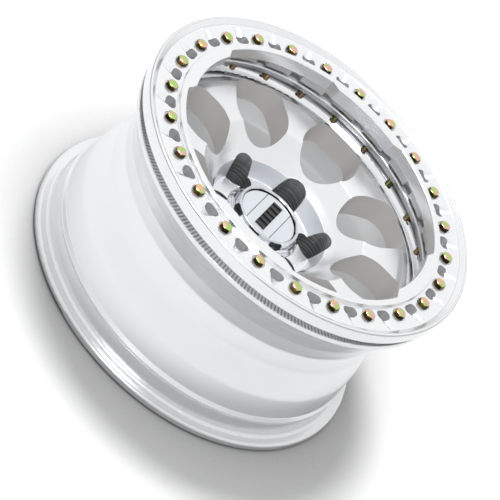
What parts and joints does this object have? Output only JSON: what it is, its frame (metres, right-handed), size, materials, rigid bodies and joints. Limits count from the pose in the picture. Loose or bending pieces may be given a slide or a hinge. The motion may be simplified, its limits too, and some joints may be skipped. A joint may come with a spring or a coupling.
{
  "type": "beadlock wheel",
  "caption": "Machined alloy off-road wheel whose outer tyre bead is clamped by a slotted ring held down by a circle of bolts.",
  "frame": {"origin": "on the spin axis, in the plane of the rear flange's back face, which the wheel lies on", "axes": "+Z along the spin axis towards the outboard face with the clamp ring, +X through a ring bolt"},
  "size_m": [0.4712, 0.4712, 0.2534],
  "materials": {
    "wheel_alloy": "bright machined, clear coated",
    "ring_alloy": "bright machined, clear coated",
    "bolt_zinc": "yellow zinc plate",
    "washer_steel": "plain bright",
    "cap_chrome": "chrome plate",
    "cap_silver": "smooth silver",
    "inlay_black": "gloss black",
    "wire_steel": "drawn wire"
  },
  "bodies": {
    "root": {"wheel": "wheel_alloy", "beadlock_ring": "ring_alloy", "ring_bolts": "bolt_zinc", "ring_washers": "washer_steel", "cap_body": "cap_chrome", "cap_disc": "cap_silver", "cap_inlay": "inlay_black", "cap_spring_wire": "wire_steel"}
  },
  "joints": []
}
